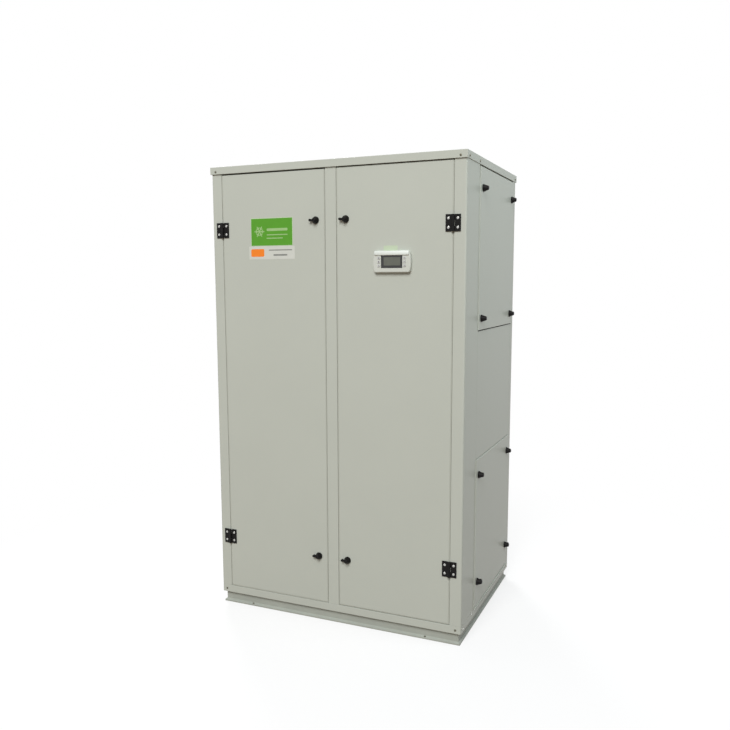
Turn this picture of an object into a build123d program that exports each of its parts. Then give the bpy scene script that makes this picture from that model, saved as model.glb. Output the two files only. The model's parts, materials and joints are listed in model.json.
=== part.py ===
from build123d import *
from math import atan2, degrees
import os

os.makedirs("parts", exist_ok=True)

# A floor-standing computer room air conditioner: a framed steel cabinet with two front
# doors, lift-off side panels on quarter-turn latches, a pan lid and a channel plinth.
# Millimetres. X runs across the front, Y from front to rear and Z up from the floor.

# Body
body_width = 1136
body_depth = 810
body_height = 1900
corner_radius = 8

# Plinth of pressed channels
plinth_height = 50
plinth_web_inset = 14
plinth_lip_inset = 6
plinth_lip_height = 7
plinth_lip_slope = 5
plinth_flange = 42
plinth_plate = 4

# Frame
frame_depth = 32
stile_width = 49
side_strip_width = 180
mullion_width = 49
bottom_rail_height = 32.5
stop_width = 14
stop_plate = 2
cross_rail_height = 40
cross_rail_plate = 2.5
floor_plate = 3

# Lid
lid_sheet = 2
lid_drop = 30
lid_overhang_end = 6
lid_overhang_side = 3
lid_edge_radius = 1.5

# Doors and panels
door_gap = 5
door_top_gap = 6
door_depth = 25
sheet = 1.5
door_lip = 16
panel_gap = 3
panel_proud = 3
face_edge_radius = 2
lower_seam_height = 680
upper_seam_height = 1214

# Hinges on the face of the doors
hinge_width = 60
hinge_height = 64
hinge_plate = 4
knuckle_radius = 6
knuckle_notch = 7
pin_radius = 2.5
pin_offset = 6.5
hinge_inset = 231

# Quarter-turn latches
collar_diameter = 30
collar_height = 4
spigot_diameter = 20
spigot_overrun = 3
knob_diameter = 28
knob_top_diameter = 15
knob_height = 23
knob_crown = 3
lever_reach = 26
lever_width = 8
lever_tip_radius = 5.2
lever_base = 6
lever_height = 10
shaft_diameter = 10
cam_clearance = 5.5
cam_reach = 50
cam_width = 16
cam_thickness = 3
latch_inset = 38
door_latch_inset = 202
upper_panel_latch_top = 82
upper_panel_latch_bottom = 49
lower_panel_latch_top = 70
lower_panel_latch_bottom = 108

# Display on the right door
display_width = 160
display_bulge = 6
display_height = 84
display_depth = 16
display_corner_radius = 10
display_edge_radius = 4
display_middle_height = 1490
brow_width = 146
brow_height = 17
brow_depth = 20
brow_corner_radius = 5
brow_edge_radius = 3
screen_width = 90
screen_height = 50
screen_recess = 3
screen_plate = 2
button_width = 11
button_height = 9
button_pitch = 15
button_column = 54
button_depth = 3

# Clearances
running_gap = 0.3
shaft_clearance = 0.1
seat_clearance = 0.2

# Places that follow from the sizes above
rail_top = plinth_height + bottom_rail_height
lid_top = plinth_height + body_height
post_top = lid_top - lid_sheet
lid_edge = lid_top - lid_drop
opening_top = lid_edge - door_top_gap
half_width = body_width / 2
front = knob_height - (knob_height + body_depth + lid_overhang_end) / 2
rear = front + body_depth
panel_depth = frame_depth - stop_plate
door_cam_depth = frame_depth + cam_clearance
side_cam_depth = panel_proud + frame_depth + cam_clearance

door_bottom = rail_top + door_gap
door_free_edge = mullion_width / 2 + door_gap
door_hinge_edge = half_width - stile_width - door_gap
pin_x = door_hinge_edge + door_gap / 2
pin_y = front - pin_offset
hinge_levels = (door_bottom + hinge_inset, opening_top - hinge_inset)

panel_bottom = rail_top + panel_gap
panel_front = front + side_strip_width + panel_gap
panel_rear = rear - stile_width - panel_gap
lower_seam = plinth_height + lower_seam_height
upper_seam = plinth_height + upper_seam_height


def save(piece, name):
    """Label a finished piece and write it under its own name."""
    piece.label = name
    export_step(piece, f"parts/{name}.step")


def face_plane(side, across=0, height=0):
    """Plane on one face of the body, normal outwards, y up, origin at X or Y across."""
    if side == "front":
        return Plane(origin=(across, front, height), x_dir=(1, 0, 0), z_dir=(0, -1, 0))
    if side == "rear":
        return Plane(origin=(across, rear, height), x_dir=(-1, 0, 0), z_dir=(0, 1, 0))
    if side == "right":
        return Plane(origin=(half_width, across, height), x_dir=(0, 1, 0), z_dir=(1, 0, 0))
    return Plane(origin=(-half_width, across, height), x_dir=(0, -1, 0), z_dir=(-1, 0, 0))


def slab(side, span, depth, levels, mode=Mode.ADD):
    """Box on one side: span along X or Y, depth inwards from the face, levels in Z."""
    face = face_plane(side)
    forward = face.x_dir.X + face.x_dir.Y
    with BuildSketch(face.offset(-depth[0])) as outline:
        with Locations((forward * (span[0] + span[1]) / 2, (levels[0] + levels[1]) / 2)):
            Rectangle(span[1] - span[0], levels[1] - levels[0])
    extrude(outline.sketch, amount=depth[0] - depth[1], mode=mode)


def inset(span, amount):
    """The span with both of its ends moved inwards."""
    return (span[0] + amount, span[1] - amount)


def round_face_edges(piece, side, radius):
    """Round the edges of a piece's outermost face on one side."""
    outwards = Axis((0, 0, 0), face_plane(side).z_dir)
    fillet(piece.faces().sort_by(outwards)[-1].edges(), radius)


def mitred_member(side, height, outline):
    """Member along the whole of one side from an outline (inwards, up), mitred both ends."""
    length = body_width if side in ("front", "rear") else body_depth
    face = face_plane(side, 0 if side in ("front", "rear") else (front + rear) / 2, height)
    with BuildSketch(Plane(origin=face.origin, x_dir=-face.z_dir, z_dir=face.x_dir)) as section:
        with BuildLine():
            Polyline(*outline, close=True)
        make_face()
    extrude(section.sketch, amount=length / 2, both=True)
    for end in (-1, 1):
        along = face.x_dir * end
        corner = face.origin + along * (length / 2)
        split(bisect_by=Plane(origin=corner, z_dir=along - face.z_dir), keep=Keep.BOTTOM)


def horizontal_stops(side, levels):
    """Door or panel stops between the upright stops of one side."""
    stop_depth = (frame_depth - stop_plate, frame_depth)
    if side in ("front", "rear"):
        inner = mullion_width / 2 + stop_width
        outer = half_width - stile_width - stop_width
        slab(side, (-outer, -inner), stop_depth, levels)
        slab(side, (inner, outer), stop_depth, levels)
    else:
        low = front + side_strip_width + stop_width
        slab(side, (low, rear - stile_width - stop_width), stop_depth, levels)


# Plinth channels: the web stands in under the body and the foot runs out to a lip
channel_outline = [
    (plinth_web_inset, plinth_height),
    (plinth_web_inset + plinth_flange, plinth_height),
    (plinth_web_inset + plinth_flange, plinth_height - plinth_plate),
    (plinth_web_inset + plinth_plate, plinth_height - plinth_plate),
    (plinth_web_inset + plinth_plate, plinth_plate),
    (plinth_web_inset + plinth_flange, plinth_plate),
    (plinth_web_inset + plinth_flange, 0),
    (plinth_lip_inset, 0),
    (plinth_lip_inset, plinth_lip_height),
    (plinth_web_inset, plinth_lip_height + plinth_lip_slope),
]
for side in ("front", "rear", "left", "right"):
    with BuildPart() as plinth_channel:
        mitred_member(side, 0, channel_outline)
    save(plinth_channel.part, f"plinth_{side}_channel")

# Bottom rails, mitred under the corner posts, with stops standing at their backs
rail_outline = [
    (0, 0),
    (frame_depth, 0),
    (frame_depth, bottom_rail_height),
    (0, bottom_rail_height),
]
for side in ("front", "rear", "left", "right"):
    with BuildPart() as bottom_rail:
        mitred_member(side, plinth_height, rail_outline)
        with BuildSketch(Plane.XY.offset(plinth_height)):
            with Locations((0, (front + rear) / 2)):
                RectangleRounded(body_width, body_depth, corner_radius)
        extrude(amount=bottom_rail_height, mode=Mode.INTERSECT)
        horizontal_stops(side, (rail_top, rail_top + stop_width))
    save(bottom_rail.part, f"{side}_bottom_rail")

# Top rails between the posts, hidden by the lid's edge, with stops hanging at their backs
for side in ("front", "rear", "left", "right"):
    if side in ("front", "rear"):
        rail_span = inset((-half_width, half_width), stile_width)
    else:
        rail_span = (front + side_strip_width, rear - stile_width)
    with BuildPart() as top_rail:
        slab(side, rail_span, (0, frame_depth), (lid_edge, post_top))
        horizontal_stops(side, (opening_top - stop_width, lid_edge))
    save(top_rail.part, f"{side}_top_rail")


def corner_post(across, along, side_leg):
    """Folded corner section; across is -1 left or 1 right, along is -1 front or 1 rear."""
    corner = Vector(across * half_width, front if along < 0 else rear)
    end, flank = ("front", "rear")[along > 0], ("left", "right")[across > 0]
    stop_depth = (frame_depth - stop_plate, frame_depth)
    with BuildPart() as post:
        with BuildSketch(Plane.XY.offset(rail_top)):
            with Locations((corner.X - across * stile_width / 2, corner.Y - along * frame_depth / 2)):
                Rectangle(stile_width, frame_depth)
            with Locations((corner.X - across * frame_depth / 2, corner.Y - along * side_leg / 2)):
                Rectangle(frame_depth, side_leg)
            fillet(vertices().sort_by_distance((corner.X, corner.Y, rail_top))[0], corner_radius)
        extrude(amount=post_top - rail_top)
        near = across * (half_width - stile_width)
        slab(end, sorted((near, near - across * stop_width)), stop_depth, (rail_top, lid_edge))
        near = corner.Y - along * side_leg
        slab(flank, sorted((near, near - along * stop_width)), stop_depth, (rail_top, lid_edge))
    return post.part


# Corner posts: the front pair run back along the sides as fixed strips
for across, hand in ((-1, "left"), (1, "right")):
    save(corner_post(across, -1, side_strip_width), f"front_{hand}_post")
    save(corner_post(across, 1, stile_width), f"rear_{hand}_post")

# Mullions with a stop on both sides
for side in ("front", "rear"):
    with BuildPart() as mullion:
        middle = (-mullion_width / 2, mullion_width / 2)
        slab(side, middle, (0, frame_depth), (rail_top, lid_edge))
        stops = inset(middle, -stop_width)
        slab(side, stops, (frame_depth - stop_plate, frame_depth), (rail_top, lid_edge))
    save(mullion.part, f"{side}_mullion")

# Cross rails behind the seams of the side panels, face to face with the posts' backs
for side in ("left", "right"):
    with BuildPart() as cross_rails:
        for seam in (lower_seam, upper_seam):
            slab(
                side,
                (front + side_strip_width - stop_width, rear - stile_width + stop_width),
                (frame_depth, frame_depth + cross_rail_plate),
                (seam - cross_rail_height / 2, seam + cross_rail_height / 2),
            )
    save(cross_rails.part, f"{side}_cross_rails")

# Floor pan on the plinth's flanges
with BuildPart() as floor_pan:
    with BuildSketch(Plane.XY.offset(plinth_height)):
        with Locations((0, (front + rear) / 2)):
            Rectangle(body_width - 2 * frame_depth, body_depth - 2 * frame_depth)
    extrude(amount=floor_plate)
save(floor_pan.part, "floor_pan")

# Lid: a pan turned down over the posts
lid_width = body_width + 2 * lid_overhang_side
lid_depth = body_depth + 2 * lid_overhang_end
with BuildPart() as lid:
    with BuildSketch(Plane.XY.offset(lid_edge)):
        with Locations((0, (front + rear) / 2)):
            Rectangle(lid_width, lid_depth)
    extrude(amount=lid_drop)
    fillet(lid.faces().sort_by(Axis.Z)[-1].edges(), lid_edge_radius)
    with BuildSketch(Plane.XY.offset(lid_edge)):
        with Locations((0, (front + rear) / 2)):
            Rectangle(lid_width - 2 * lid_sheet, lid_depth - 2 * lid_sheet)
    extrude(amount=lid_drop - lid_sheet, mode=Mode.SUBTRACT)
save(lid.part, "lid")


def latch_holes(seats, depth, diameter):
    """Holes through a panel for the spigots of its latches."""
    for seat in seats:
        with BuildSketch(seat) as hole:
            Circle(diameter / 2)
        extrude(hole.sketch, amount=-depth, mode=Mode.SUBTRACT)


def latch_collar(seat, spigot_length):
    """Fixed housing of a latch: a flange on the face and a bored spigot through it."""
    with BuildSketch(seat) as flange:
        Circle(collar_diameter / 2)
    extrude(flange.sketch, amount=collar_height)
    with BuildSketch(seat) as spigot:
        Circle(spigot_diameter / 2)
    extrude(spigot.sketch, amount=-spigot_length)
    with BuildSketch(seat.offset(collar_height)) as bore:
        Circle(shaft_diameter / 2 + shaft_clearance)
    extrude(bore.sketch, amount=-collar_height - spigot_length, mode=Mode.SUBTRACT)


def latch_knob(seat, lever_angle, cam_depth):
    """Turning part of a latch: tapered knob and lever outside, shaft and hanging cam inside."""
    base = collar_height + running_gap
    narrowing = atan2((knob_diameter - knob_top_diameter) / 2, knob_height - base)
    tip_centre = lever_reach - lever_tip_radius
    with BuildPart() as knob:
        with BuildSketch(seat.offset(base)):
            Circle(knob_diameter / 2)
        extrude(amount=knob_height - base, taper=degrees(narrowing))
        fillet(knob.faces().sort_by(Axis(seat.origin, seat.z_dir))[-1].edges(), knob_crown)
        with BuildSketch(seat.offset(lever_base)):
            with PolarLocations(tip_centre / 2, 1, start_angle=lever_angle):
                Rectangle(tip_centre, lever_width)
            with PolarLocations(tip_centre, 1, start_angle=lever_angle):
                Circle(lever_tip_radius)
        extrude(amount=lever_height)
        with BuildSketch(seat.offset(base)):
            Circle(shaft_diameter / 2)
        extrude(amount=-base - cam_depth - cam_thickness)
        with BuildSketch(seat.offset(-cam_depth)):
            Circle(cam_width / 2)
            with Locations((0, cam_width / 2 - cam_reach)):
                Circle(cam_width / 2)
            make_hull()
        extrude(amount=-cam_thickness)
    return knob.part


def panel(side, span, levels, proud=0, seats=()):
    """Insulated panel seated against the stops, its face flush with the frame or proud of it."""
    with BuildPart() as body:
        slab(side, span, (-proud, panel_depth), levels)
        round_face_edges(body, side, face_edge_radius)
        latch_holes(seats, proud + panel_depth, spigot_diameter + 2 * seat_clearance)
    return body.part


# Side panels: the upper and lower ones lift off and stand proud, the middle one is fixed
side_span = (panel_front, panel_rear)
lower_levels = (panel_bottom, lower_seam - panel_gap / 2)
middle_levels = (lower_seam + panel_gap / 2, upper_seam - panel_gap / 2)
upper_levels = (upper_seam + panel_gap / 2, opening_top)
latch_heights = {
    "upper": (upper_seam + upper_panel_latch_bottom, opening_top - upper_panel_latch_top),
    "lower": (panel_bottom + lower_panel_latch_bottom, lower_seam - lower_panel_latch_top),
}
latch_places = {"front": panel_front + latch_inset, "rear": panel_rear - latch_inset}


def panel_seat(side, y, z):
    """Plane of a latch on the outer face of a lift-off panel."""
    return face_plane(side, y, z).offset(panel_proud)


for side in ("left", "right"):
    seats = {
        level: [panel_seat(side, y, z) for z in heights for y in latch_places.values()]
        for level, heights in latch_heights.items()
    }
    for level, levels in (("upper", upper_levels), ("lower", lower_levels)):
        lift_off = panel(side, side_span, levels, panel_proud, seats[level])
        save(lift_off, f"{side}_{level}_panel")
    save(panel(side, side_span, middle_levels), f"{side}_middle_panel")
    with BuildPart() as collars:
        for seat in seats["upper"] + seats["lower"]:
            latch_collar(seat, panel_proud + panel_depth + spigot_overrun)
    save(collars.part, f"{side}_latch_collars")

# Rear panels, fixed
for hand, sign in (("left", -1), ("right", 1)):
    inner = sign * (mullion_width / 2 + panel_gap)
    outer = sign * (half_width - stile_width - panel_gap)
    save(panel("rear", sorted((inner, outer)), (panel_bottom, opening_top)), f"rear_{hand}_panel")

# Turning knobs of the side latches; every lever points to the rear
for end, y in latch_places.items():
    for level, heights in latch_heights.items():
        for row, z in zip(("bottom", "top"), heights):
            knob = latch_knob(panel_seat("right", y, z), 0, side_cam_depth)
            save(knob, f"right_{level}_{row}_{end}_knob")
with BuildPart() as left_knobs:
    for y in latch_places.values():
        for heights in latch_heights.values():
            for z in heights:
                add(latch_knob(panel_seat("left", y, z), 180, side_cam_depth))
save(left_knobs.part, "left_side_knobs")


def hinge_leaf(place, away, knuckles, bore):
    """Leaf on the face, reaching from the pin towards away (-1 or 1), with its knuckles."""
    third = hinge_height / 3
    with BuildSketch(place) as leaf:
        with Locations((away * (knuckle_notch + hinge_width / 2) / 2, 0)):
            Rectangle(hinge_width / 2 - knuckle_notch, hinge_height)
        for level in knuckles:
            with Locations((away * knuckle_notch / 2, level * third)):
                Rectangle(knuckle_notch, third - 2 * running_gap)
    extrude(leaf.sketch, amount=hinge_plate)
    for level in knuckles:
        low = place.origin.Z + level * third - third / 2 + running_gap
        with BuildSketch(Plane((place.origin.X, pin_y, low))) as knuckle:
            Circle(knuckle_radius)
        extrude(knuckle.sketch, amount=third - 2 * running_gap)
    with BuildSketch(Plane((place.origin.X, pin_y, place.origin.Z - hinge_height / 2))) as pin:
        Circle(pin_radius + (shaft_clearance if bore else 0))
    extrude(pin.sketch, amount=hinge_height, mode=Mode.SUBTRACT if bore else Mode.ADD)


# Fixed hinge leaves with their pins
with BuildPart() as frame_hinge_leaves:
    for hand in (-1, 1):
        for level in hinge_levels:
            hinge_leaf(face_plane("front", hand * pin_x, level), hand, (-1, 1), False)
save(frame_hinge_leaves.part, "frame_hinge_leaves")

# Doors: a folded skin, its insulation, hinge leaves, latch collars and latch knobs
door_levels = (door_bottom, opening_top)
for hand, sign in (("left", -1), ("right", 1)):
    door_span = sorted((sign * door_free_edge, sign * door_hinge_edge))
    latch_x = sign * (door_free_edge + latch_inset)
    latch_z = {"upper": opening_top - door_latch_inset, "lower": door_bottom + door_latch_inset}
    seats = {row: face_plane("front", latch_x, z) for row, z in latch_z.items()}
    back = (door_depth - sheet, door_depth)

    with BuildPart() as door_skin:
        slab("front", door_span, (0, door_depth), door_levels)
        round_face_edges(door_skin, "front", face_edge_radius)
        filling = (sheet, door_depth - sheet)
        slab("front", inset(door_span, sheet), filling, inset(door_levels, sheet), Mode.SUBTRACT)
        slab("front", inset(door_span, door_lip), back, inset(door_levels, door_lip), Mode.SUBTRACT)
        latch_holes(seats.values(), sheet, spigot_diameter + 2 * seat_clearance)
    save(door_skin.part, f"{hand}_door_skin")

    with BuildPart() as door_insulation:
        margin = sheet + seat_clearance
        slab("front", inset(door_span, margin), filling, inset(door_levels, margin))
        latch_holes(seats.values(), door_depth, spigot_diameter + 2 * seat_clearance)
    save(door_insulation.part, f"{hand}_door_insulation")

    with BuildPart() as door_hinge_leaves:
        for level in hinge_levels:
            hinge_leaf(face_plane("front", sign * pin_x, level), -sign, (0,), True)
    save(door_hinge_leaves.part, f"{hand}_door_hinge_leaves")

    with BuildPart() as door_collars:
        for seat in seats.values():
            latch_collar(seat, door_depth + spigot_overrun)
    save(door_collars.part, f"{hand}_door_latch_collars")

    for row, seat in seats.items():
        save(latch_knob(seat, 180, door_cam_depth), f"{hand}_door_{row}_knob")

# Display on the middle of the right door: housing with a brow, screen and two button rows
display_x = (door_free_edge + door_hinge_edge) / 2
display_seat = face_plane("front", display_x, plinth_height + display_middle_height)
outwards = Axis(display_seat.origin, display_seat.z_dir)
middle, end, top = display_width / 2, display_width / 2 - display_bulge, display_height / 2
with BuildPart() as display_housing:
    with BuildSketch(display_seat):
        with BuildLine():
            Line((-end, top), (end, top))
            ThreePointArc((end, top), (middle, 0), (end, -top))
            Line((end, -top), (-end, -top))
            ThreePointArc((-end, -top), (-middle, 0), (-end, top))
        make_face()
        fillet(vertices(), display_corner_radius)
    extrude(amount=display_depth)
    fillet(display_housing.faces().sort_by(outwards)[-1].edges(), display_edge_radius)
    with BuildSketch(display_seat):
        with Locations((0, (display_height - brow_height) / 2)):
            RectangleRounded(brow_width, brow_height, brow_corner_radius)
    extrude(amount=brow_depth)
    fillet(display_housing.faces().sort_by(outwards)[-1].edges(), brow_edge_radius)
    with BuildSketch(display_seat.offset(display_depth - screen_recess)):
        Rectangle(screen_width, screen_height)
    extrude(amount=screen_recess, mode=Mode.SUBTRACT)
save(display_housing.part, "display_housing")

with BuildPart() as display_screen:
    with BuildSketch(display_seat.offset(display_depth - screen_recess)):
        Rectangle(screen_width - 2 * seat_clearance, screen_height - 2 * seat_clearance)
    extrude(amount=screen_plate)
save(display_screen.part, "display_screen")

with BuildPart() as display_buttons:
    with BuildSketch(display_seat.offset(display_depth)):
        with GridLocations(2 * button_column, button_pitch, 2, 3):
            RectangleRounded(button_width, button_height, button_height / 4)
    extrude(amount=button_depth)
save(display_buttons.part, "display_buttons")
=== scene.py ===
import json
import math

import bmesh
import bpy
from mathutils import Matrix, Vector


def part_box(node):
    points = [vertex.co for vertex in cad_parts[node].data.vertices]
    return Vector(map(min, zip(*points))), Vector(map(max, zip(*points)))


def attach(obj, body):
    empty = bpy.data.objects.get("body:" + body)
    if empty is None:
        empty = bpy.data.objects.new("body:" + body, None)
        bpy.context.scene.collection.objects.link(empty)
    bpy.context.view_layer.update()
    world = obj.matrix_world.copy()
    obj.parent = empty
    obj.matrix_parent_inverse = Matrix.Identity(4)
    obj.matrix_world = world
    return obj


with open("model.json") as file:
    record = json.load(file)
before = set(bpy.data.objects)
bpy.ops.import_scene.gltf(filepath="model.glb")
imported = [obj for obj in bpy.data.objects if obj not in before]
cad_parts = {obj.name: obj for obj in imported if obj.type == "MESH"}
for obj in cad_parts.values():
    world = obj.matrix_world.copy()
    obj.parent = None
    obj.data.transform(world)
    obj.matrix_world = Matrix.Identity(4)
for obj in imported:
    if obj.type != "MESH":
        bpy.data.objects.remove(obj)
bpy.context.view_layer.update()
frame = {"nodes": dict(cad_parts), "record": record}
nodes = frame["nodes"]
scene = bpy.context.scene
scene.view_settings.view_transform = "Standard"

# Places on the frame, metres, and the turn of each face: local z outwards and y up
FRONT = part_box("left_door_skin")[0].y
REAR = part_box("rear_bottom_rail")[1].y
HALF_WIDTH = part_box("right_bottom_rail")[1].x
RAIL_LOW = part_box("front_bottom_rail")[0].z
LID_LOW, LID_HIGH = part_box("lid")
FACES = {
    "front": Matrix(((1, 0, 0), (0, 0, -1), (0, 1, 0))),
    "rear": Matrix(((-1, 0, 0), (0, 0, 1), (0, 1, 0))),
    "right": Matrix(((0, 0, 1), (1, 0, 0), (0, 1, 0))),
    "left": Matrix(((0, 0, -1), (-1, 0, 0), (0, 1, 0))),
}

# Camera, solved from the corners of the body, the doors and the panels; metres and degrees
PICTURE = 730
FOCAL_PIXELS = 758.8
SENSOR = 36.0
CAMERA_PLACE = (HALF_WIDTH + 0.8114, FRONT - 2.8085, RAIL_LOW + 1.4148)
CAMERA_AZIMUTH = 23.64
CAMERA_ELEVATION = 7.27
CAMERA_ROLL = -0.16
AXIS_DROP = 12.9

# Base colours, linear
PAINT = (0.512, 0.540, 0.482)
PLINTH_PAINT = (0.39, 0.415, 0.368)
BLACK = (0.0050, 0.0044, 0.0042)
DARK_FOAM = (0.030, 0.030, 0.032)
SEAL_GREY = (0.45, 0.47, 0.41)
GASKET = (0.022, 0.022, 0.023)
ZINC = (0.60, 0.62, 0.64)
SCREW_STEEL = (0.16, 0.15, 0.115)
# Bright steel of the hinge screws; on the side rail screws it is a painted glint
BRIGHT_STEEL_AND_GLINT = (0.52, 0.52, 0.49)
# Cream of the display housing, darkened as painted shade on its body
CREAM_WITH_PAINTED_SHADE = (0.585, 0.610, 0.555)
# The same cream, lightened as painted light on the brow's cap
CREAM_WITH_PAINTED_LIGHT = (0.735, 0.785, 0.740)
WINDOW = (0.028, 0.029, 0.028)
LCD = (0.115, 0.124, 0.100)
BUTTON = (0.56, 0.57, 0.56)
BUTTON_MARK = (0.13, 0.13, 0.14)
LABEL_GREEN = (0.102, 0.335, 0.032)
LABEL_PALE = (0.34, 0.54, 0.23)
LABEL_EDGE = (0.52, 0.64, 0.44)
LABEL_WHITE = (0.62, 0.64, 0.59)
LABEL_ORANGE = (0.90, 0.24, 0.03)
LABEL_GREY = (0.26, 0.27, 0.25)
STICKER = (0.52, 0.61, 0.45)


def add_node(tree, kind, settings=None, **inputs):
    """New shader node; its inputs are values or the sockets that feed them."""
    made = tree.nodes.new("ShaderNode" + kind)
    for name, value in (settings or {}).items():
        setattr(made, name, value)
    for name, value in inputs.items():
        socket = made.inputs[name.replace("_", " ")]
        if isinstance(value, bpy.types.NodeSocket):
            tree.links.new(value, socket)
        else:
            socket.default_value = value
    return made


def colour_ramp(tree, factor, stops):
    """Colour that runs between two stops of (place, colour) as factor goes from 0 to 1."""
    ramp = add_node(tree, "ValToRGB", Fac=factor)
    for element, (place, colour) in zip(ramp.color_ramp.elements, stops):
        element.position = place
        element.color = (*colour, 1)
    return ramp.outputs["Color"]


def shaded(colour, share):
    """The colour made lighter or darker by a share of itself."""
    return tuple(min(1.0, channel * (1 + share)) for channel in colour)


# Noise that mottles a surface, the factors where its two colours begin, and the grain's detail
CLOUD_DETAIL, CLOUD_ROUGHNESS = 4.0, 0.6
CLOUD_LOW, CLOUD_HIGH = 0.3, 0.7
GRAIN_DETAIL = 2.0


def surface(name, colour, roughness, mottle=0.02, mottle_scale=3.0, rough_spread=0.04,
            grain=(0, 0), waves=(0, 0), **sockets):
    """Material with mottled colour and roughness; grain and waves are (scale, height in metres)."""
    material = bpy.data.materials.new(name)
    material.use_nodes = True
    tree = material.node_tree
    shader = tree.nodes["Principled BSDF"]
    for socket, value in sockets.items():
        shader.inputs[socket.replace("_", " ")].default_value = value
    place = add_node(tree, "TexCoord").outputs["Object"]
    cloud = add_node(
        tree, "TexNoise", Vector=place, Scale=mottle_scale, Detail=CLOUD_DETAIL,
        Roughness=CLOUD_ROUGHNESS,
    )
    stops = ((CLOUD_LOW, shaded(colour, -mottle)), (CLOUD_HIGH, shaded(colour, mottle)))
    tree.links.new(colour_ramp(tree, cloud.outputs["Fac"], stops), shader.inputs["Base Color"])
    spread = add_node(
        tree, "MapRange", Value=cloud.outputs["Fac"],
        To_Min=roughness - rough_spread, To_Max=roughness + rough_spread,
    )
    tree.links.new(spread.outputs["Result"], shader.inputs["Roughness"])
    normal = None
    for scale, height in (waves, grain):
        if not scale:
            continue
        texture = add_node(tree, "TexNoise", Vector=place, Scale=scale, Detail=GRAIN_DETAIL)
        bump = add_node(tree, "Bump", Height=texture.outputs["Fac"], Distance=height)
        if normal:
            tree.links.new(normal, bump.inputs["Normal"])
        normal = bump.outputs["Normal"]
    if normal:
        tree.links.new(normal, shader.inputs["Normal"])
    return material


# Grain and waves as (scale, height in metres), and gloss as a specular level
ORANGE_PEEL = (650.0, 0.00006)
SHEET_WAVES = (2.6, 0.0009)
MOULDED = (1400.0, 0.00003)
RUBBER = (900.0, 0.0001)
OPEN_CELLS = (420.0, 0.0006)
LOW_GLOSS = 0.15
GASKET_GLOSS = 0.04
PAINT_GLOSS = 0.1

# What surface() is told for each material; films are the printed labels
FILM_LOOK = dict(roughness=0.4, mottle=0.025, mottle_scale=25.0, Specular_IOR_Level=LOW_GLOSS)
LOOKS = {
    "cabinet_paint": dict(
        colour=PAINT, roughness=0.32, mottle=0.012, grain=ORANGE_PEEL, waves=SHEET_WAVES,
        Specular_IOR_Level=PAINT_GLOSS,
    ),
    "plinth_paint": dict(
        colour=PLINTH_PAINT, roughness=0.42, mottle=0.05, mottle_scale=9.0, grain=ORANGE_PEEL,
        Specular_IOR_Level=LOW_GLOSS,
    ),
    "black_nylon": dict(
        colour=BLACK, roughness=0.45, mottle=0.1, grain=MOULDED, Specular_IOR_Level=LOW_GLOSS
    ),
    "foam": dict(colour=DARK_FOAM, roughness=0.95, mottle=0.25, mottle_scale=40.0, grain=OPEN_CELLS),
    "zinc_steel": dict(
        colour=ZINC, roughness=0.42, mottle=0.12, mottle_scale=45.0, rough_spread=0.1, Metallic=1.0
    ),
    # The housing takes the cream darkened as painted shade, and its brow cap takes the cream lightened
    # as painted light
    "display_plastic": dict(colour=CREAM_WITH_PAINTED_SHADE, roughness=0.38, mottle=0.01, grain=MOULDED),
    "brow_plastic_painted_light": dict(colour=CREAM_WITH_PAINTED_LIGHT, roughness=0.38, mottle=0.01, grain=MOULDED),
    "display_glass": dict(colour=WINDOW, roughness=0.12, mottle=0.05, rough_spread=0.02),
    "button_rubber": dict(colour=BUTTON, roughness=0.6, mottle=0.02),
    "seal": dict(colour=SEAL_GREY, roughness=0.75, mottle=0.04, grain=RUBBER),
    "gasket": dict(
        colour=GASKET, roughness=0.9, mottle=0.1, grain=RUBBER, Specular_IOR_Level=GASKET_GLOSS
    ),
    "screw_steel": dict(
        colour=SCREW_STEEL, roughness=0.45, mottle=0.15, mottle_scale=200.0, Metallic=1.0
    ),
    "bright_steel_and_glint": dict(
        colour=BRIGHT_STEEL_AND_GLINT, roughness=0.3, mottle=0.03, mottle_scale=200.0, Metallic=1.0
    ),
    "lcd": dict(colour=LCD, roughness=0.2, mottle=0.12, mottle_scale=30.0),
    "button_mark": dict(FILM_LOOK, colour=BUTTON_MARK, roughness=0.6),
    "label_green": dict(FILM_LOOK, colour=LABEL_GREEN, roughness=0.35),
    "label_pale": dict(FILM_LOOK, colour=LABEL_PALE),
    "label_edge": dict(FILM_LOOK, colour=LABEL_EDGE),
    "label_white": dict(FILM_LOOK, colour=LABEL_WHITE),
    "label_orange": dict(FILM_LOOK, colour=LABEL_ORANGE),
    "label_grey": dict(FILM_LOOK, colour=LABEL_GREY, roughness=0.5),
    "sticker": dict(FILM_LOOK, colour=STICKER),
}
materials = {name: surface(name, **look) for name, look in LOOKS.items()}
for subpart in frame["record"]["subparts"]:
    for place in nodes[subpart["node"]].material_slots:
        place.material = materials[subpart["material_slot"]]

# Edges of the pieces, metres and degrees
WELD_DISTANCE = 0.00001
FLAT_ANGLE = 1
FOLD_ANGLE = 40
FOLD_SEGMENTS = 2
SMOOTH_ANGLE = 40
FILM_SMOOTH_ANGLE = 20


def soften(name, width):
    """Gives the folded or moulded edges of a CAD node their small radius."""
    piece = nodes[name]
    weld = piece.modifiers.new("weld", "WELD")
    weld.merge_threshold = WELD_DISTANCE
    flat = piece.modifiers.new("flat", "DECIMATE")
    flat.decimate_type = "DISSOLVE"
    flat.angle_limit = math.radians(FLAT_ANGLE)
    bevel = piece.modifiers.new("edges", "BEVEL")
    bevel.limit_method = "ANGLE"
    bevel.angle_limit = math.radians(FOLD_ANGLE)
    bevel.width = width
    bevel.segments = FOLD_SEGMENTS
    piece.modifiers.new("shading", "WEIGHTED_NORMAL")


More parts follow.
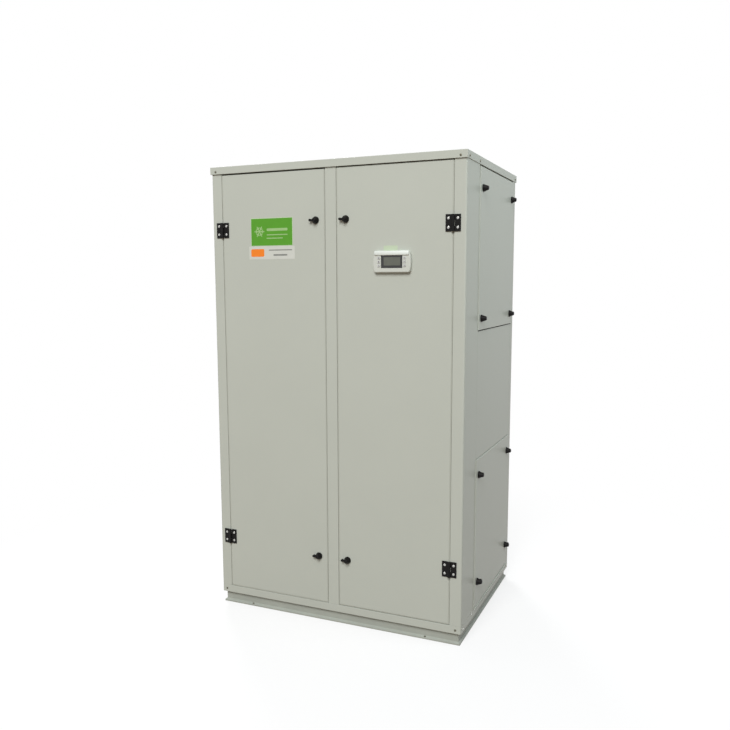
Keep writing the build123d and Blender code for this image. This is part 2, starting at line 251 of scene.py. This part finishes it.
def new_piece(name, shape, material, body, smooth=SMOOTH_ANGLE):
    """Object from a bmesh, with its edges smooth under an angle, riding on a body."""
    bmesh.ops.recalc_face_normals(shape, faces=shape.faces)
    mesh = bpy.data.meshes.new(name)
    shape.to_mesh(mesh)
    shape.free()
    mesh.materials.append(materials[material])
    mesh.shade_smooth()
    mesh.set_sharp_from_angle(angle=math.radians(smooth))
    piece = bpy.data.objects.new(name, mesh)
    scene.collection.objects.link(piece)
    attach(piece, body)


def on_face(side, across, height, out=0.0):
    """Matrix of a place on one face of the body: local z outwards and y up."""
    turn = FACES[side].to_4x4()
    if side in ("front", "rear"):
        origin = Vector((across, FRONT if side == "front" else REAR, height))
    else:
        origin = Vector((HALF_WIDTH if side == "right" else -HALF_WIDTH, across, height))
    return Matrix.Translation(origin + turn.to_3x3() @ Vector((0, 0, out))) @ turn


def add_copies(shape, source, places):
    """Adds a copy of the source bmesh at each place (a 4x4 matrix)."""
    for place in places:
        copies = {vertex: shape.verts.new(place @ vertex.co) for vertex in source.verts}
        for face in source.faces:
            shape.faces.new([copies[vertex] for vertex in face.verts])


def join_rings(shape, rings, closed=False):
    """Faces between neighbouring rings of corners, with an end face on both ends if open."""
    pairs = list(zip(rings, rings[1:]))
    if closed:
        pairs.append((rings[-1], rings[0]))
    else:
        shape.faces.new(rings[0])
        shape.faces.new(rings[-1])
    for near, far in pairs:
        for index in range(len(near)):
            after = (index + 1) % len(near)
            shape.faces.new([near[index], near[after], far[after], far[index]])


def lathe(profile, steps=28):
    """Bmesh of a turned form about z from (radius, height) points, flat at both ends."""
    shape = bmesh.new()
    turns = [2 * math.pi * step / steps for step in range(steps)]
    rings = [
        [shape.verts.new((radius * math.cos(turn), radius * math.sin(turn), height)) for turn in turns]
        for radius, height in profile
    ]
    join_rings(shape, rings)
    return shape


def add_prism(shape, place, levels):
    """Adds a solid through levels of (outline, height), all with as many corners."""
    join_rings(shape, [
        [shape.verts.new(place @ Vector((*corner, height))) for corner in outline]
        for outline, height in levels
    ])


def rounded(width, height, radius, centre=(0, 0), steps=5):
    """Outline of a rectangle with rounded corners."""
    points = []
    for quarter, (side, up) in enumerate(((1, 1), (-1, 1), (-1, -1), (1, -1))):
        for step in range(steps + 1):
            turn = (quarter + step / steps) * math.pi / 2
            points.append((
                centre[0] + side * (width / 2 - radius) + radius * math.cos(turn),
                centre[1] + up * (height / 2 - radius) + radius * math.sin(turn),
            ))
    return points


def add_plate(shape, place, width, height, radius, thickness, centre=(0, 0)):
    """Adds a thin rounded plate with its upper edge chamfered by half the thickness."""
    edge = thickness / 2
    outline = rounded(width, height, radius, centre)
    upper = rounded(width - 2 * edge, height - 2 * edge, radius - edge, centre)
    add_prism(shape, place, [(outline, 0), (outline, thickness - edge), (upper, thickness)])


def add_strip(shape, place, corners, section, closed=False):
    """Adds a strip along straight runs with mitred corners.

    corners are (across, up) in the place's plane; section is a loop of (aside, out),
    where aside is to the right of the way along.
    """
    points = [Vector(corner) for corner in corners]
    count = len(points)
    runs = [(points[(index + 1) % count] - points[index]).normalized() for index in range(count)]
    asides = [Vector((run.y, -run.x)) for run in runs]
    rings = []
    for index, point in enumerate(points):
        before, after = asides[index - 1], asides[index]
        if not closed and index == 0:
            before = after
        if not closed and index == count - 1:
            after = before
        mitre = (before + after) / (1 + before.dot(after))
        rings.append([
            shape.verts.new(place @ Vector((*(point + mitre * aside), out))) for aside, out in section
        ])
    join_rings(shape, rings, closed)


# Screw heads, in shares of radius and height; the foot is sunk into the sheet, metres
HEAD_FOOT, HEAD_SUNK = 0.96, 0.0004
HEAD_PROFILE = ((1, 0), (1, 0.55), (0.96, 0.75), (0.82, 0.9), (0.5, 0.98), (0.12, 1))
RECESS_TAPER = 0.6


def cross_headed(radius, height, slot_length, slot_width, slot_depth):
    """Bmesh of a domed screw head with a cross recess, standing on z 0."""
    profile = [(share * radius, rise * height) for share, rise in HEAD_PROFILE]
    dome = lathe([(HEAD_FOOT * radius, -HEAD_SUNK)] + profile)
    arm = ((slot_width, slot_width), (slot_width, slot_length), (-slot_width, slot_length))
    corners = []
    for quarter in range(4):
        turn = Matrix.Rotation(quarter * math.pi / 2, 2)
        corners += [turn @ (Vector(corner) / 2) for corner in arm]
    cross = bmesh.new()
    add_prism(cross, Matrix.Identity(4), [
        ([RECESS_TAPER * corner for corner in corners], height - slot_depth),
        (corners, height + slot_depth),
    ])
    head = bpy.data.objects.new("head", bpy.data.meshes.new("head"))
    cutter = bpy.data.objects.new("cutter", bpy.data.meshes.new("cutter"))
    for shape, helper in ((dome, head), (cross, cutter)):
        bmesh.ops.recalc_face_normals(shape, faces=shape.faces)
        shape.to_mesh(helper.data)
        scene.collection.objects.link(helper)
    cut = head.modifiers.new("cut", "BOOLEAN")
    cut.operation = "DIFFERENCE"
    cut.solver = "EXACT"
    cut.object = cutter
    finished = bmesh.new()
    finished.from_object(head, bpy.context.evaluated_depsgraph_get())
    for helper in (head, cutter):
        bpy.data.objects.remove(helper)
    return finished


PAN_HEAD = cross_headed(
    radius=0.0045, height=0.0026, slot_length=0.0052, slot_width=0.0011, slot_depth=0.0015
)
HINGE_SCREW = cross_headed(
    radius=0.0049, height=0.0013, slot_length=0.0056, slot_width=0.0012, slot_depth=0.0009
)

# Screws of the lid and the bottom rails, one more on each side than on the front and the rear
SCREW_INSET = 0.024
LID_SCREW_DROP = 0.020
RAIL_SCREW_RISE = 0.016
STRIP_SCREW_RISE = 0.0265
STRIP_SCREW_PLACE = 0.150
LID_SIDE_SCREW_PLACE = 0.170


def screws(name, places, head=PAN_HEAD, material="screw_steel", body="cabinet"):
    """One piece that holds a screw head at each place."""
    shape = bmesh.new()
    add_copies(shape, head, places)
    new_piece(name, shape, material, body)


side_ends = (FRONT + SCREW_INSET, REAR - SCREW_INSET)
face_ends = (SCREW_INSET - HALF_WIDTH, HALF_WIDTH - SCREW_INSET)
side_overhang = LID_HIGH.x - HALF_WIDTH
for side, ends, overhang in (
    ("front", face_ends, FRONT - LID_LOW.y),
    ("rear", face_ends, LID_HIGH.y - REAR),
    ("left", side_ends, side_overhang),
    ("right", side_ends, side_overhang),
):
    lid_spots = [(end, LID_HIGH.z - LID_SCREW_DROP) for end in ends]
    rail_spots = [(end, RAIL_LOW + RAIL_SCREW_RISE) for end in ends]
    if side in ("left", "right"):
        lid_spots.append((FRONT + LID_SIDE_SCREW_PLACE, LID_HIGH.z - LID_SCREW_DROP))
        rail_spots.append((FRONT + STRIP_SCREW_PLACE, RAIL_LOW + STRIP_SCREW_RISE))
    screws(f"lid_{side}_screws", [on_face(side, *spot, overhang) for spot in lid_spots])
    # The side rail screws take the bright steel as a painted glint, and the front and rear ones the
    # dark steel
    rail_screw_material = "bright_steel_and_glint" if side in ("left", "right") else "screw_steel"
    screws(f"{side}_rail_screws", [on_face(side, *spot) for spot in rail_spots], material=rail_screw_material)

# Screws of the rear panels
REAR_SCREW_INSET = 0.014
REAR_SCREW_ROWS = 5
rear_spots = []
for hand in ("left", "right"):
    low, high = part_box(f"rear_{hand}_panel")
    for row in range(REAR_SCREW_ROWS):
        share = row / (REAR_SCREW_ROWS - 1)
        height = low.z + REAR_SCREW_INSET + share * (high.z - low.z - 2 * REAR_SCREW_INSET)
        for across in (low.x + REAR_SCREW_INSET, high.x - REAR_SCREW_INSET):
            rear_spots.append(on_face("rear", across, height))
screws("rear_panel_screws", rear_spots)

# Bolts down through the foot of the plinth's front and rear
FOOT_BOLT_PLACE = 0.412
FOOT_BOLT_INSET = 0.0102
FOOT_BOLT_HEIGHT = 0.0094
upwards = Matrix.Rotation(-math.pi / 2, 4, "X")
for side in ("front", "rear"):
    screws(f"plinth_{side}_bolts", [
        on_face(side, across, FOOT_BOLT_HEIGHT, -FOOT_BOLT_INSET) @ upwards
        for across in (-FOOT_BOLT_PLACE, FOOT_BOLT_PLACE)
    ])

# Hinge screws, two across and two up on each hinge
HINGE_SCREW_ACROSS = 0.0185
HINGE_SCREW_UP = 0.0175
HINGE_PLATE = 0.004
HINGE_HEIGHT = 0.064
hinge_low, hinge_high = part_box("frame_hinge_leaves")
hinge_levels = (hinge_low.z + HINGE_HEIGHT / 2, hinge_high.z - HINGE_HEIGHT / 2)
joint_places = {joint["name"]: joint["pos_m"] for joint in frame["record"]["behaviour"]["joints"]}
for hand, sign in (("left", -1), ("right", 1)):
    pin = joint_places[f"{hand}_door_hinge"][0]
    for leaf, way, body in (("frame", sign, "cabinet"), ("door", -sign, f"{hand}_door")):
        places = [
            on_face("front", pin + way * HINGE_SCREW_ACROSS, level + up, HINGE_PLATE)
            for level in hinge_levels
            for up in (-HINGE_SCREW_UP, HINGE_SCREW_UP)
        ]
        screws(f"{hand}_hinge_{leaf}_screws", places, HINGE_SCREW, "bright_steel_and_glint", body)

# Edge seals on the doors, as wide as each edge needs, and the gaskets that the doors close on
SEAL_WIDTHS = {
    "left": {"left": 0.0044, "bottom": 0.0041, "right": 0.0033},
    "right": {"left": 0.0042, "bottom": 0.0030, "right": 0.0038, "top": 0.0024},
}
SEAL_TOP, SEAL_BOTTOM = -0.0012, -0.0075
SEAL_EDGE = 0.0009
GASKET_INSET = 0.0005
GASKET_WIDTH = 0.008
GASKET_BEVEL = 0.25 * GASKET_WIDTH
GASKET_GAP = 0.0004
STOP_PLATE = 0.002
gasket_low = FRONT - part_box("front_mullion")[1].y + STOP_PLATE
gasket_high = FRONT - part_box("left_door_skin")[1].y - GASKET_GAP
gasket_shoulder = gasket_high - (gasket_high - gasket_low) / 3
gasket_section = [
    (0, gasket_low), (0, gasket_shoulder), (GASKET_BEVEL, gasket_high),
    (GASKET_WIDTH - GASKET_BEVEL, gasket_high), (GASKET_WIDTH, gasket_shoulder),
    (GASKET_WIDTH, gasket_low),
]
front_face = on_face("front", 0, 0)


def seal_section(width):
    """Section of an edge seal that stands out from its door by the width."""
    return [
        (0, SEAL_BOTTOM), (width, SEAL_BOTTOM), (width, SEAL_TOP - SEAL_EDGE),
        (width - SEAL_EDGE, SEAL_TOP), (0, SEAL_TOP),
    ]


for hand in ("left", "right"):
    low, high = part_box(f"{hand}_door_skin")
    widths = SEAL_WIDTHS[hand]
    runs = {
        "left": [(low.x, high.z), (low.x, low.z)],
        "bottom": [(low.x - widths["left"], low.z), (high.x + widths["right"], low.z)],
        "right": [(high.x, low.z), (high.x, high.z)],
        "top": [(high.x, high.z), (low.x, high.z)],
    }
    shape = bmesh.new()
    for edge, width in widths.items():
        add_strip(shape, front_face, runs[edge], seal_section(width))
    new_piece(f"{hand}_door_edge_seal", shape, "seal", f"{hand}_door")

    left, right = low.x + GASKET_INSET, high.x - GASKET_INSET
    bottom, top = low.z + GASKET_INSET, high.z - GASKET_INSET
    shape = bmesh.new()
    clockwise = [(left, bottom), (left, top), (right, top), (right, bottom)]
    add_strip(shape, front_face, clockwise, gasket_section, closed=True)
    new_piece(f"{hand}_door_gasket", shape, "gasket", "cabinet")

# Fillers in the upright gaps beside the side panels
PANEL_GAP = 0.003
FILLER_WIDTH = 0.0029
FILLER_TOP, FILLER_BOTTOM = -0.0002, -0.006
filler_section = [
    (-FILLER_WIDTH / 2, FILLER_BOTTOM), (FILLER_WIDTH / 2, FILLER_BOTTOM),
    (FILLER_WIDTH / 2, FILLER_TOP), (-FILLER_WIDTH / 2, FILLER_TOP),
]
for side in ("left", "right"):
    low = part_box(f"{side}_lower_panel")[0]
    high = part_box(f"{side}_upper_panel")[1]
    shape = bmesh.new()
    for edge in (low.y - PANEL_GAP / 2, high.y + PANEL_GAP / 2):
        upright = [(0, low.z - PANEL_GAP), (0, high.z)]
        add_strip(shape, on_face(side, edge, 0), upright, filler_section)
    new_piece(f"{side}_panel_fillers", shape, "cabinet_paint", "cabinet")

# Strips in the level gaps of the side panels: a ledge at the bottom that catches the light, a filler
# in the lower seam, and in the upper seam a dark strip of the gasket material, which is painted shade
# for that gap
STRIP_GAP = 0.0003
STRIP_HEIGHT = PANEL_GAP - 2 * STRIP_GAP
STRIP_BACK = -0.005
STRIP_EDGE = 0.0006
LEDGE_OUT = 0.0064
SEAM_FILLER_OUT = -0.0002
SEAM_SHADE_STRIP_OUT = 0.0022


def panel_strip(name, side, gap_top, out, material):
    """Level strip as long as the side panels in the gap below gap_top; out is its front."""
    low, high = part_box(f"{side}_lower_panel")
    half_depth = (high.y - low.y) / 2
    section = [
        (0, STRIP_BACK), (STRIP_HEIGHT, STRIP_BACK), (STRIP_HEIGHT, out - STRIP_EDGE),
        (STRIP_HEIGHT - STRIP_EDGE, out), (0, out),
    ]
    run = [(-half_depth, gap_top - STRIP_GAP), (half_depth, gap_top - STRIP_GAP)]
    shape = bmesh.new()
    add_strip(shape, on_face(side, (low.y + high.y) / 2, 0), run, section)
    new_piece(name, shape, material, "cabinet")


for side in ("left", "right"):
    low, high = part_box(f"{side}_lower_panel")
    upper_seam_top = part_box(f"{side}_upper_panel")[0].z
    for name, gap_top, out, material, slot in (
        ("panel_ledge", low.z, LEDGE_OUT, "cabinet_paint", "cabinet_paint"),
        ("seam_filler", high.z + PANEL_GAP, SEAM_FILLER_OUT, "cabinet_paint", "cabinet_paint"),
        # Dark strip in the upper seam: painted shade under the proud upper panel
        ("seam_shade_strip", upper_seam_top, SEAM_SHADE_STRIP_OUT, "gasket", "foam"),
    ):
        panel_strip(f"{side}_{name}", side, gap_top, out, material)

# Labels on the left door and a sticker over the display: plain fields with plain marks
FILM = 0.0003
PRINT = 0.00012
LABEL_MARGIN = 0.0028
LABEL_CORNER = 0.0025
FIELD_CORNER = 0.001
GREEN_FIELD = ((-0.3775, 1.6118), (-0.1745, 1.7295))
WHITE_FIELD = ((-0.387, 1.5575), (-0.167, 1.6115))
STICKER_FIELD = ((0.232, 1.582), (0.291, 1.603))

# Rounded marks on the labels: width, height, corner, and the middle in shares of the label's size
GREEN_BARS = (
    (0.100, 0.011, 0.004, 0.13, 0.08),
    (0.100, 0.004, 0.0015, 0.13, -0.10),
    (0.078, 0.004, 0.0015, 0.07, -0.22),
)
WHITE_BLOCK = ((0.064, 0.032, 0.005, -0.31, 0),)
WHITE_BARS = (
    (0.112, 0.0045, 0.002, 0.19, 0.20),
    (0.066, 0.0070, 0.002, 0.19, -0.18),
)

# The snowflake's place in the same shares, and one arm of it in shares of its reach and half bar
SNOWFLAKE_PLACE = (-0.29, 0.02)
SNOWFLAKE_REACH, SNOWFLAKE_BAR = 0.024, 0.0040
SNOWFLAKE_ARM = (
    (0.42, 1), (0.62, 3.9), (0.76, 2.9), (0.63, 1), (1, 1),
    (1, -1), (0.63, -1), (0.76, -2.9), (0.62, -3.9), (0.42, -1),
)


def label(name, field, material, body):
    """Thin rounded film on the front; gives its place, width and height."""
    low, high = field
    width, height = high[0] - low[0], high[1] - low[1]
    place = on_face("front", (low[0] + high[0]) / 2, (low[1] + high[1]) / 2)
    shape = bmesh.new()
    add_plate(shape, place, width, height, LABEL_CORNER, FILM)
    new_piece(name, shape, material, body, smooth=FILM_SMOOTH_ANGLE)
    return place, width, height


def printed(name, place, outlines, material, body, layer=1):
    """Marks printed on a film, each an outline in the film's plane; layers lie on each other."""
    shape = bmesh.new()
    for outline in outlines:
        add_prism(shape, place, [(outline, FILM - PRINT), (outline, FILM + layer * PRINT)])
    new_piece(name, shape, material, body, smooth=FILM_SMOOTH_ANGLE)


def marks(rows, width, height):
    """Outlines of rounded marks for a label of this width and height."""
    return [rounded(*form, (across * width, up * height)) for *form, across, up in rows]


def snowflake(width, height):
    """Outline of six crossing bars with a pair of short branches on each."""
    centre = Vector((SNOWFLAKE_PLACE[0] * width, SNOWFLAKE_PLACE[1] * height))
    crotch = Vector((math.cos(math.pi / 6), -math.sin(math.pi / 6))) * SNOWFLAKE_BAR
    corners = [
        Vector((along * SNOWFLAKE_REACH, aside * SNOWFLAKE_BAR / 2)) for along, aside in SNOWFLAKE_ARM
    ]
    turns = [Matrix.Rotation(-step * math.pi / 3, 2) for step in range(6)]
    return [centre + turn @ corner for turn in turns for corner in corners + [crotch]]


place, width, height = label("green_label", GREEN_FIELD, "label_edge", "left_door")
field = rounded(width - 2 * LABEL_MARGIN, height - 2 * LABEL_MARGIN, FIELD_CORNER)
printed("green_label_field", place, [field], "label_green", "left_door")
green_marks = [snowflake(width, height)] + marks(GREEN_BARS, width, height)
printed("green_label_marks", place, green_marks, "label_pale", "left_door", layer=2)

place, width, height = label("white_label", WHITE_FIELD, "label_white", "left_door")
white_block = marks(WHITE_BLOCK, width, height)
printed("white_label_block", place, white_block, "label_orange", "left_door")
white_lines = marks(WHITE_BARS, width, height)
printed("white_label_lines", place, white_lines, "label_grey", "left_door")

label("display_sticker", STICKER_FIELD, "sticker", "right_door")

# Display: a cap over the brow in a paler cream, painted light on the up-facing brow; each level
# (inset, height over the brow's front)
BROW_WIDTH, BROW_HEIGHT, BROW_CORNER = 0.146, 0.017, 0.005
CAP_LEVELS = ((0, -0.004), (0, -0.0018), (0.0009, -0.0004), (0.0024, 0.0005))
CAP_MARGIN = 0.0005
low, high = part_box("display_housing")
brow_front = on_face("front", (low.x + high.x) / 2, high.z - BROW_HEIGHT / 2, FRONT - low.y)
cap_outlines = []
for inset, height in CAP_LEVELS:
    growth = CAP_MARGIN - inset
    outline = rounded(BROW_WIDTH + 2 * growth, BROW_HEIGHT + 2 * growth, BROW_CORNER + growth)
    cap_outlines.append((outline, height))
shape = bmesh.new()
add_prism(shape, brow_front, cap_outlines)
new_piece("display_brow_painted_light_cap", shape, "brow_plastic_painted_light", "right_door")

# Liquid crystal field on the window and plain marks on the buttons
LCD_WIDTH, LCD_HEIGHT = 0.070, 0.032
LCD_SHIFT = (0.001, 0.0012)
LCD_CORNER = 0.001
BUTTON_WIDTH, BUTTON_HEIGHT = 0.011, 0.009
MARK = 0.0022
LONG_MARK, THIN_MARK = 2.2 * MARK, 0.8 * MARK
BAR_CORNER, SQUARE_CORNER, DISC_CORNER = 0.3 * MARK, 0.2 * MARK, 0.9 * MARK
THIN_PLATE = 0.0002
low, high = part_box("display_screen")
middle = (low + high) / 2
shape = bmesh.new()
window = on_face("front", middle.x, middle.z, FRONT - low.y)
add_plate(shape, window, LCD_WIDTH, LCD_HEIGHT, LCD_CORNER, THIN_PLATE, LCD_SHIFT)
new_piece("display_lcd", shape, "lcd", "right_door", smooth=FILM_SMOOTH_ANGLE)

low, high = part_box("display_buttons")
pointer = [(MARK, -THIN_MARK), (0, MARK), (-MARK, -THIN_MARK)]
bar = rounded(LONG_MARK, THIN_MARK, BAR_CORNER)
upright = rounded(THIN_MARK, LONG_MARK, BAR_CORNER)
square = rounded(2 * MARK, 2 * MARK, SQUARE_CORNER)
disc = rounded(2 * MARK, 2 * MARK, DISC_CORNER)
button_columns = (
    (low.x + BUTTON_WIDTH / 2, (disc, square, upright)),
    (high.x - BUTTON_WIDTH / 2, (pointer, bar, [(across, -up) for across, up in pointer])),
)
shape = bmesh.new()
for across, outlines in button_columns:
    for row, outline in enumerate(outlines):
        share = row / (len(outlines) - 1)
        level = high.z - BUTTON_HEIGHT / 2 - share * (high.z - low.z - BUTTON_HEIGHT)
        place = on_face("front", across, level, FRONT - low.y)
        add_prism(shape, place, [(outline, 0), (outline, THIN_PLATE)])
new_piece(
    "display_button_marks", shape, "button_mark", "right_door",
    smooth=FILM_SMOOTH_ANGLE,
)

# Softened edges of the sheet metal and the mouldings
FOLD_RADIUS = 0.0012
MOULDED_RADIUS = 0.0006
for name in nodes:
    if name.endswith(("_post", "_mullion", "_rail", "_channel")):
        soften(name, FOLD_RADIUS)
    elif name.endswith(("_hinge_leaves", "_knob", "_knobs", "_collars")):
        soften(name, MOULDED_RADIUS)

# Floor, background and light
WHITE = (1.0, 1.0, 1.0, 1.0)
FLOOR_COLOUR = (0.31, 0.235, 0.18, 1.0)
FLOOR_SIZE = 40.0
FLOOR_SHADE = 0.3
FLOOR_FADE = (0.8, 2.2)
WORLD_LIGHT = 0.28
WORLD_COLOUR = (0.96, 1.0, 1.03, 1.0)

# Lamps: place, target, size, power and colour
LAMPS = {
    "key": ((1.5, -12.0, 11.0), (0, 0, 1.0), 7.0, 2070, (1, 1, 1)),
    "side": ((2.6, -0.1, 2.6), (0.57, 0, 2.2), 1.0, 19, (0.86, 1.0, 1.04)),
    "fill": ((-7.0, 9.5, 6.0), (0, 0, 1.0), 5.0, 1150, (1, 1, 1)),
}


def seen_directly(tree):
    """1 for rays that show the background itself: from the camera, a gloss or a glass."""
    path = add_node(tree, "LightPath")
    total = path.outputs["Is Camera Ray"]
    for name in ("Is Glossy Ray", "Is Transmission Ray"):
        larger = add_node(tree, "Math", {"operation": "MAXIMUM"})
        tree.links.new(total, larger.inputs[0])
        tree.links.new(path.outputs[name], larger.inputs[1])
        total = larger.outputs[0]
    return total


def mix_shaders(tree, factor, first, second):
    """Shader that goes from first to second with factor."""
    mix = add_node(tree, "MixShader", Fac=factor)
    tree.links.new(first, mix.inputs[1])
    tree.links.new(second, mix.inputs[2])
    return mix.outputs[0]


def make_floor():
    """Plain floor that shows white, with the object's soft shadow close to it."""
    material = bpy.data.materials.new("floor")
    material.use_nodes = True
    tree = material.node_tree
    tree.nodes.clear()
    output = tree.nodes.new("ShaderNodeOutputMaterial")
    ground = add_node(tree, "BsdfDiffuse", Color=FLOOR_COLOUR).outputs[0]
    pale = add_node(tree, "BsdfDiffuse", Color=WHITE).outputs[0]
    glow = add_node(tree, "Emission", Color=WHITE).outputs[0]
    place = add_node(tree, "TexCoord").outputs["Object"]
    distance = add_node(tree, "VectorMath", {"operation": "LENGTH"}, Vector=place)
    shade = add_node(
        tree, "MapRange", Value=distance.outputs["Value"], From_Min=FLOOR_FADE[0],
        From_Max=FLOOR_FADE[1], To_Min=FLOOR_SHADE, To_Max=0.0,
    )
    shown = mix_shaders(tree, shade.outputs["Result"], glow, pale)
    tree.links.new(mix_shaders(tree, seen_directly(tree), ground, shown), output.inputs["Surface"])
    shape = bmesh.new()
    bmesh.ops.create_grid(shape, x_segments=1, y_segments=1, size=FLOOR_SIZE / 2)
    mesh = bpy.data.meshes.new("floor")
    shape.to_mesh(mesh)
    shape.free()
    mesh.materials.append(material)
    floor = bpy.data.objects.new("floor", mesh)
    scene.collection.objects.link(floor)


def make_world():
    """Even light all round, with a white background."""
    world = bpy.data.worlds.new("studio")
    world.use_nodes = True
    tree = world.node_tree
    light = tree.nodes["Background"]
    light.inputs["Color"].default_value = WORLD_COLOUR
    light.inputs["Strength"].default_value = WORLD_LIGHT
    backdrop = add_node(tree, "Background", Color=WHITE, Strength=1.0)
    shown = mix_shaders(tree, seen_directly(tree), light.outputs[0], backdrop.outputs[0])
    tree.links.new(shown, tree.nodes["World Output"].inputs["Surface"])
    scene.world = world


def add_lamp(name, place, target, size, energy, colour):
    """Square soft lamp at a place, turned to a target."""
    lamp = bpy.data.lights.new(name, "AREA")
    lamp.color = colour
    lamp.size = size
    lamp.energy = energy
    holder = bpy.data.objects.new(name, lamp)
    holder.location = place
    holder.rotation_euler = (Vector(target) - Vector(place)).to_track_quat("-Z", "Y").to_euler()
    scene.collection.objects.link(holder)


make_floor()
make_world()
for name, lamp in LAMPS.items():
    add_lamp(name, *lamp)

# Camera
camera = bpy.data.objects.new("camera", bpy.data.cameras.new("camera"))
camera.data.sensor_width = SENSOR
camera.data.lens = FOCAL_PIXELS / PICTURE * SENSOR
camera.data.shift_y = AXIS_DROP / PICTURE
turn = Matrix.Rotation(math.radians(CAMERA_AZIMUTH), 4, "Z")
tilt = Matrix.Rotation(math.radians(90 - CAMERA_ELEVATION), 4, "X")
roll = Matrix.Rotation(math.radians(CAMERA_ROLL), 4, "Z")
camera.matrix_world = Matrix.Translation(CAMERA_PLACE) @ turn @ tilt @ roll
scene.collection.objects.link(camera)
scene.camera = camera
